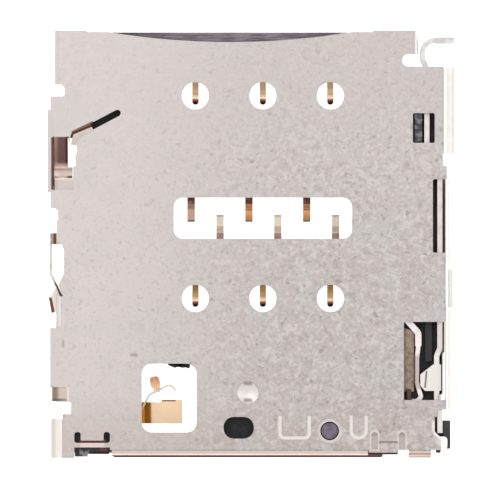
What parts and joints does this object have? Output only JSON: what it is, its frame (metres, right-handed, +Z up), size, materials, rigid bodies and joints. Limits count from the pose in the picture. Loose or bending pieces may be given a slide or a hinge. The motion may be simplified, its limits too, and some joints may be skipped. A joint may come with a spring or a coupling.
{
  "type": "sim card socket",
  "caption": "Flat surface-mount socket for a SIM card tray: pierced steel cover over a plastic base with sprung contacts, a detect switch and a push-rod lever ejector.",
  "frame": {"origin": "centre of the socket's box on the board plane", "axes": "+X across the socket towards the push rod, +Y out of the tray mouth, +Z up from the board"},
  "size_m": [0.0153, 0.0161, 0.0014],
  "materials": {
    "cover_steel": "satin, fine grain",
    "base_plastic": "moulded, matte",
    "contact_gold": "gold plated",
    "switch_gold": "gold plated",
    "ejector_steel": "bright",
    "spring_steel": "bright",
    "spring_bronze": "plain rolled strip"
  },
  "bodies": {
    "socket": {"cover": "cover_steel", "base": "base_plastic", "contact_c1": "contact_gold", "contact_c2": "contact_gold", "contact_c3": "contact_gold", "contact_c5": "contact_gold", "contact_c6": "contact_gold", "contact_c7": "contact_gold", "detect_spring": "switch_gold", "detect_pad": "switch_gold", "latch_spring": "spring_steel", "side_spring": "spring_bronze"},
    "rod": {"push_rod": "ejector_steel"},
    "lever": {"eject_lever": "ejector_steel"}
  },
  "joints": [
    {"name": "rod_slide", "type": "slide", "parent": "socket", "child": "rod", "axis": [0, 1, 0], "range_m": [0, 0.0012]},
    {"name": "lever_turn", "type": "hinge", "parent": "socket", "child": "lever", "pos_m": [0.00292, -0.00701, 0.0008], "axis": [0, 0, 1], "range_deg": [0, 16.6]}
  ],
  "couplings": [
    {"joint": "lever_turn", "follows": "rod_slide", "rad_per_m": 240.96}
  ]
}
